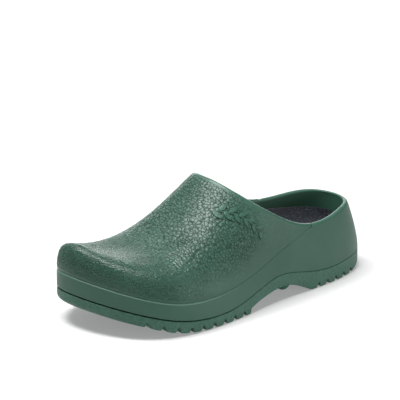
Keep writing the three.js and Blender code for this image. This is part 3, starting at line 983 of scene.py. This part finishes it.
def grow(piece, tree, sizes, name):
    modifier = piece.modifiers.new(tree.name, "NODES")
    modifier.node_group = tree
    for item in tree.interface.items_tree:
        if item.in_out == "INPUT" and item.name in sizes:
            modifier[item.identifier] = sizes[item.name]
    baked = bpy.data.meshes.new_from_object(piece.evaluated_get(bpy.context.evaluated_depsgraph_get()))
    baked.name = name
    grown = put_on_scene(name, baked)
    piece.modifiers.remove(modifier)
    bpy.data.objects.remove(piece)
    return grown


# %% [markdown]
# ## Cutting the tread
# The notches repeat at one pitch along each block. For every point the tree finds the
# nearest notch line and lifts the point by the notch's section, times how much of a lift
# the point takes. The bars between the notches get a slight crown from the same distance.

# %% Tread tree
def tread_tree():
    tree, bench, entry = start_tree("cut_tread", "First notch", "Pitch", "Count", "Width", "Depth")
    y = bench.part(bench.node("GeometryNodeInputPosition"), "Y")
    away = (y - entry["First notch"]) / entry["Pitch"]
    nearest = away.sum("ROUND", away).most(0.0).least(entry["Count"] - 1)
    gap = (away - nearest).size() * entry["Pitch"].size()
    half = entry["Width"] / 2
    section = (half * 1.14 - gap) / (half * 0.9)
    notch = section.ease(0.0, 1.0) * entry["Depth"]
    crown = (1 - gap / (half * 2.4)).most(0.0) ** 2.0 * entry["Depth"] * 0.15
    takes = bench.node("GeometryNodeInputNamedAttribute", {"Name": "tread"}, data_type="FLOAT")
    lift = bench.vector(z=notch.most(crown) * takes)
    moved = bench.node("GeometryNodeSetPosition", {"Geometry": entry["Geometry"], "Offset": lift})
    end_tree(bench, moved, entry["Material"])
    return tree


CUTTER = tread_tree()
CUTS = {"fore_cut_outsole": (FORE_NOTCHES, -FORE_PITCH), "ridged_outsole": (HEEL_NOTCHES, HEEL_PITCH)}
outsole = plain_sole
for name, (notches, pitch) in CUTS.items():
    sizes = {"First notch": notches[0] / 1000, "Pitch": pitch / 1000, "Count": float(len(notches)),
             "Width": NOTCH_WIDTH / 1000, "Depth": NOTCH_DEPTH / 1000, "Material": SOLE}
    outsole = grow(outsole, CUTTER, sizes, name)

# %% [markdown]
# ## Raising the grain
# The coarse pebbles are real relief: the distance to the nearest crease gives each pebble
# its rounded top. Where the shoe bends behind the toes a few flex wrinkles run across.
# Every vertex moves along its own normal, times the strength that the vamp's points carry.

# %% Grain tree
BEND_X, BEND_Y, BEND_WIDE, BEND_LONG = 0.033, -0.062, 0.022, 0.015


def grain_tree():
    tree, bench, entry = start_tree("raise_grain", "Height", "Swell", "Wrinkle pitch", "Wrinkle height")
    place = bench.node("GeometryNodeInputPosition")
    strength = bench.node("GeometryNodeInputNamedAttribute", {"Name": "grain"}, data_type="FLOAT")
    tops = pebble_edges(bench, bench.scaled(place, 1000, 1000, 1000))[0].ease(0.0, 0.24)
    lumps = bench.noise(place, 120.0, 2.0)
    relief = ((tops - 0.6) * entry["Height"] + (lumps - 0.5) * entry["Swell"]) * strength
    x, y = (bench.part(place, axis) for axis in "XY")
    bend = ((y - BEND_Y) / BEND_LONG) ** 2.0 + ((x - BEND_X) / BEND_WIDE) ** 2.0
    wander = bench.noise(place, 110.0, 2.0) * 0.006
    wave = (y - x * 0.1 + wander) / entry["Wrinkle pitch"] * (2 * math.pi)
    wrinkles = wave.sine() * bend.ease(1.6, 0.0) * entry["Wrinkle height"] * strength.ease(0.02, 0.3)
    along = bench.node("GeometryNodeInputNormal")
    push = bench.node("ShaderNodeVectorMath", {0: along, "Scale": relief + wrinkles}, operation="SCALE")
    moved = bench.node("GeometryNodeSetPosition", {"Geometry": entry["Geometry"], "Offset": push})
    end_tree(bench, moved, entry["Material"])
    return tree


vamp = grow(vamp, grain_tree(), {"Height": 0.00026, "Swell": 0.00035, "Wrinkle pitch": 0.0032,
                                 "Wrinkle height": 0.0005, "Material": GRAINED}, "vamp_with_grain")

# %% [markdown]
# ## The sprig on the instep
# The outer side of the instep carries a plain leaf sprig of a generic kind. One leaf is a
# sphere drawn out to two points, and the tree places it in pairs along a bent stem. The
# sprig is grown flat, and then each of its points is cast onto the vamp.

# %% Sprig tree
def sprig_tree():
    tree, bench, entry = start_tree("leaf_sprig", "Length", "Pairs", "Leaf length", "Leaf width", "Relief")
    tip = bench.vector(entry["Length"])
    bow = bench.vector(entry["Length"] * 0.5, entry["Length"] * 0.16)
    bent = {"Resolution": 40, "Start": (0, 0, 0), "Middle": bow, "End": tip}
    stem = bench.node("GeometryNodeCurveQuadraticBezier", bent)
    round_rod = {"Resolution": 10, "Radius": entry["Relief"] * 0.85}
    rod = bench.node("GeometryNodeCurvePrimitiveCircle", round_rod)
    capped = {"Curve": stem, "Profile Curve": rod, "Fill Caps": True}
    solid_stem = bench.node("GeometryNodeCurveToMesh", capped)
    ball = bench.node("GeometryNodeMeshUVSphere", {"Segments": 20, "Rings": 12, "Radius": 1.0})
    turned = bench.node("GeometryNodeTransform", {"Geometry": ball, "Rotation": (0, math.pi / 2, 0)})
    where = bench.node("GeometryNodeInputPosition")
    x, y, z = (bench.part(where, axis) for axis in "XYZ")
    point = 1 - x.size() ** 2.2 * 0.55
    flat_top = (z * 2.0).least(1.0).most(-1.0)
    leaf_shape = bench.vector((x + 1) * entry["Leaf length"] * 0.5, y * point * entry["Leaf width"] * 0.5,
                              flat_top * entry["Relief"])
    leaf = bench.node("GeometryNodeSetPosition", {"Geometry": turned, "Position": leaf_shape})
    spots = {"Curve": stem, "Count": entry["Pairs"] * 2 + 1}
    points = bench.node("GeometryNodeCurveToPoints", spots, mode="COUNT")
    number = bench.node("GeometryNodeInputIndex")
    parity = number.sum("MODULO", number, 2.0) * 2 - 1
    along = number / (entry["Pairs"] * 2)
    heading = bench.vector(z=parity * 0.72 + (0.30 - along * 0.60))
    smaller = 1.08 - along * 0.42
    size = bench.vector(smaller, smaller, 1.0)
    placing = {"Points": points, "Instance": leaf, "Rotation": heading, "Scale": size}
    leaves = bench.node("GeometryNodeInstanceOnPoints", placing)
    joined = tree.nodes.new("GeometryNodeJoinGeometry")
    for part in (solid_stem, leaves):
        tree.links.new(part.socket, joined.inputs[0])
    end_tree(bench, Wire(bench, joined.outputs[0]), entry["Material"])
    return tree


# %% Growing the sprig and laying it on the vamp
seed = put_on_scene("sprig_seed", bpy.data.meshes.new("sprig_seed"))
sprig = grow(seed, sprig_tree(), {"Length": 0.043, "Pairs": 5.0, "Leaf length": 0.0094, "Leaf width": 0.0046,
                                  "Relief": 0.0011, "Material": SMOOTH}, "leaf_sprig")
start, end = Vector((0.0215, -0.0275, 0.083)), Vector((0.0415, 0.0065, 0.0635))
along = (end - start).normalized()
outward = Vector((0.80, -0.22, 0.56))
outward = (outward - along * outward.dot(along)).normalized()
sideways = outward.cross(along)
surface = BVHTree.FromObject(vamp, bpy.context.evaluated_depsgraph_get())
for vertex in sprig.data.vertices:
    flat = start + along * vertex.co.x + sideways * vertex.co.y + outward * 0.03
    hit = surface.ray_cast(flat, -outward)[0]
    if hit is not None:
        vertex.co = hit + outward * vertex.co.z

# %% [markdown]
# ## Putting the pieces on their bodies
# Everything moulded in rubber rides on the clog, and the three layers of the footbed on
# the footbed, which tips up about its toe end. Each made piece stands for the frame's own
# solid, which is then hidden. The foam midsole keeps its frame solid and gets its finish.

# %% Riding and replacing
def settle(piece, body, node, material):
    if not piece.data.materials:
        piece.data.materials.append(material)
    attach(piece, body)
    if node:
        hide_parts(node)


settle(vamp, "clog", "vamp", GRAINED)
settle(rand, "clog", "rand_and_quarter", SMOOTH)
settle(outsole, "clog", "outsole", SOLE)
settle(sprig, "clog", None, SMOOTH)
settle(felt, "footbed", "footbed_cover", FELT)
settle(cork, "footbed", "footbed_core", CORK)
settle(jute, "footbed", "footbed_backing", JUTE)


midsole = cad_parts["midsole"]
for slot in midsole.material_slots:
    slot.material = FOAM

# %% [markdown]
# ## Floor, light and camera
# The clog stands on a plain white floor, which glows a little like the lit sweep of a
# studio. A soft light above gives the shadow under the raised toe, and one more in front
# of it lights the instep. A wide low light behind gives the sheen on the surfaces that
# face up, and one on the right lifts the quarter. The camera looks down on the toe and the
# outer side from a long way off, so there is little perspective.

# %% Floor
floor_mesh = bpy.data.meshes.new("floor")
floor_mesh.from_pydata([(-8, -8, 0), (8, -8, 0), (8, 8, 0), (-8, 8, 0)], [], [(0, 1, 2, 3)])
floor = put_on_scene("floor", floor_mesh)
floor.location.z = -0.0002
bench, place = finish("floor_paper", 0.9, specular=0.1)
tint = bench.blend(bench.noise(place, 0.004), (0.46, 0.46, 0.46, 1), (0.48, 0.48, 0.48, 1))
bench.vary(**{"Base Color": tint})
bench.shader.inputs["Emission Color"].default_value = (1, 1, 1, 1)
bench.shader.inputs["Emission Strength"].default_value = 0.27
floor_mesh.materials.append(bench.material)


# %% Lights
def soft_light(name, place, aim, width, height, watts):
    lamp = bpy.data.lights.new(name, "AREA")
    lamp.shape, lamp.size, lamp.size_y, lamp.energy = "RECTANGLE", width, height, watts
    holder = put_on_scene(name, lamp)
    holder.location = place
    holder.rotation_euler = (Vector(aim) - Vector(place)).to_track_quat("-Z", "Y").to_euler()
    holder.visible_camera = False


soft_light("overhead", (0.0, -0.22, 1.6), (0, 0, 0), 0.8, 0.8, 34)
soft_light("front", (-0.46, -0.50, 1.5), (0, 0, 0.06), 0.55, 0.45, 21)
soft_light("behind", (-1.6, 1.05, 0.55), (0, 0, 0.05), 1.8, 0.9, 18.5)
soft_light("right", (1.75, 0.95, 0.30), (0, 0, 0.04), 1.3, 0.5, 17)
world = bpy.data.worlds.new("studio")
bpy.context.scene.world = world
world.use_nodes = True
world.node_tree.nodes["Background"].inputs["Color"].default_value = (1, 1, 1, 1)
world.node_tree.nodes["Background"].inputs["Strength"].default_value = 0.13
bpy.context.scene.view_settings.view_transform = "Standard"

# %% Camera
lens = bpy.data.cameras.new("camera")
lens.lens, lens.sensor_width = 195.29, 36.0
lens.clip_start, lens.clip_end = 0.05, 50
camera = put_on_scene("camera", lens)
right_way, up_way = Vector((0.61789, 0.78626, 0)), Vector((-0.25678, 0.20179, 0.94517))
back_way = right_way.cross(up_way)
turn = Matrix((right_way, up_way, back_way)).transposed().to_4x4()
camera.matrix_world = Matrix.Translation((1.28635, -1.03305, 0.65060)) @ turn
bpy.context.scene.camera = camera

# %% The end
bpy.context.view_layer.update()
